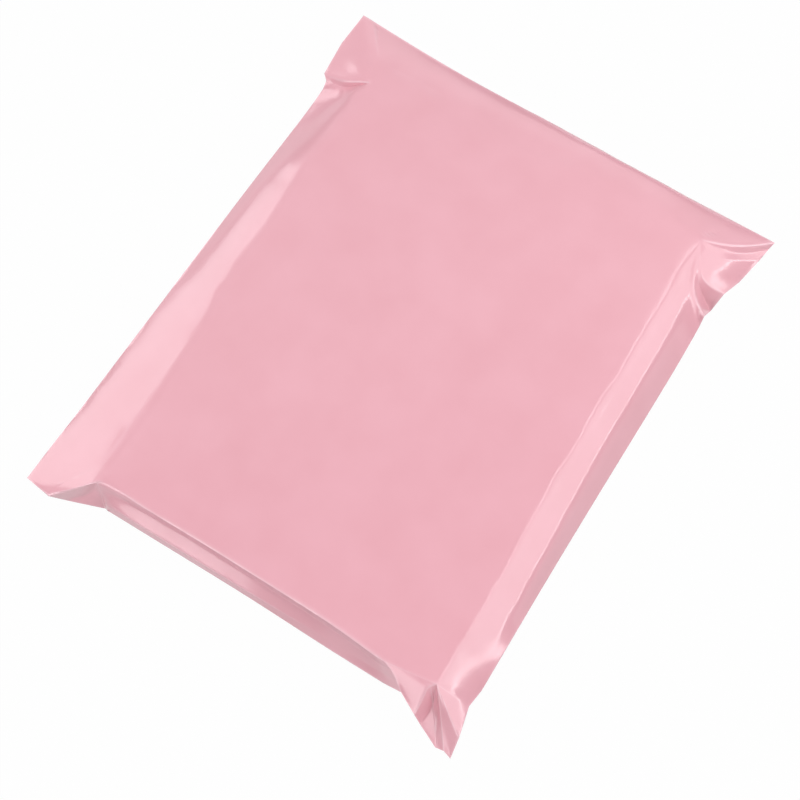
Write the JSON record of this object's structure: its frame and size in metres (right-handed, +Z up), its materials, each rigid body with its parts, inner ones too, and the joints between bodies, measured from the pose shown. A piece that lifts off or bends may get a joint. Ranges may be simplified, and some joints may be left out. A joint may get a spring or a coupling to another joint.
{
  "type": "poly mailer bag",
  "caption": "Glossy pink plastic film mailing bag, filled flat and sealed, with pinched corner fins and the flap glued down on its back.",
  "frame": {"origin": "under the middle of the mailer, on the surface that it lies on", "axes": "+Z up, +Y along its length towards the folded flap end, +X across its width"},
  "size_m": [0.2502, 0.3012, 0.0226],
  "materials": {
    "film": "glossy film"
  },
  "bodies": {
    "root": {"mailer_bag": "film"}
  },
  "joints": []
}
